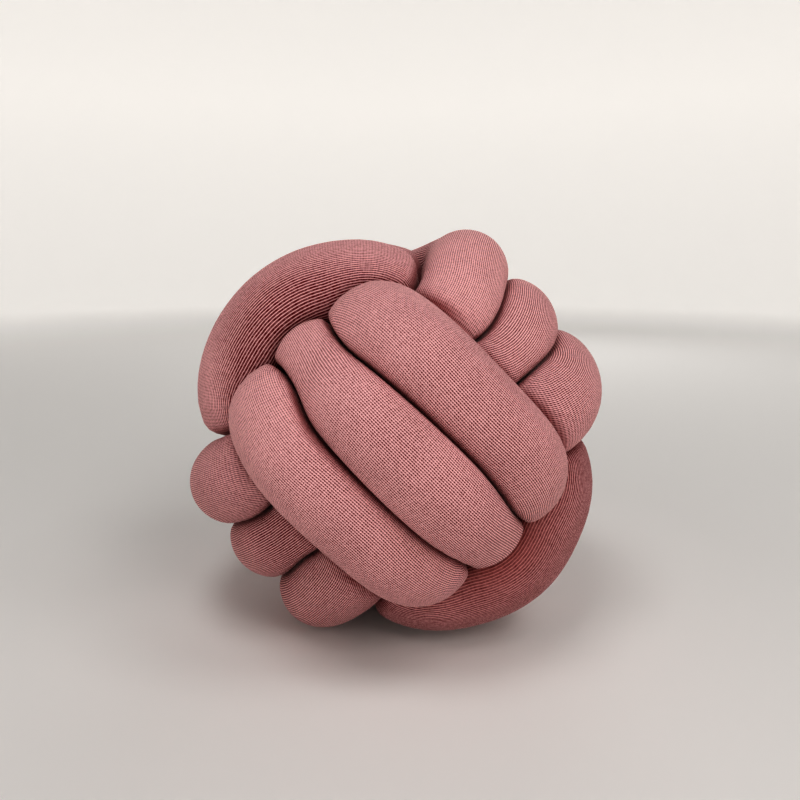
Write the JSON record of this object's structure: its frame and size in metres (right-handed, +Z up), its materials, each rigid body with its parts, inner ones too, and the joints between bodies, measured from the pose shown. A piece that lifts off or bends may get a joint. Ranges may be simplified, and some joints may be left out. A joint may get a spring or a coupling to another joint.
{
  "type": "knot cushion",
  "caption": "Knot ball cushion: one long stuffed knitted tube tied into a round ball, in dusty pink cotton knit.",
  "frame": {"origin": "centre of the footprint, on the surface it rests on", "axes": "+Z up, -Y towards the front that the three long turns lie across, +X to the viewer's right"},
  "size_m": [0.2934, 0.3092, 0.2799],
  "materials": {
    "knit": "fine plain cotton knit, matt with a soft fuzz"
  },
  "bodies": {
    "root": {"knotted_tube": "knit"}
  },
  "joints": []
}
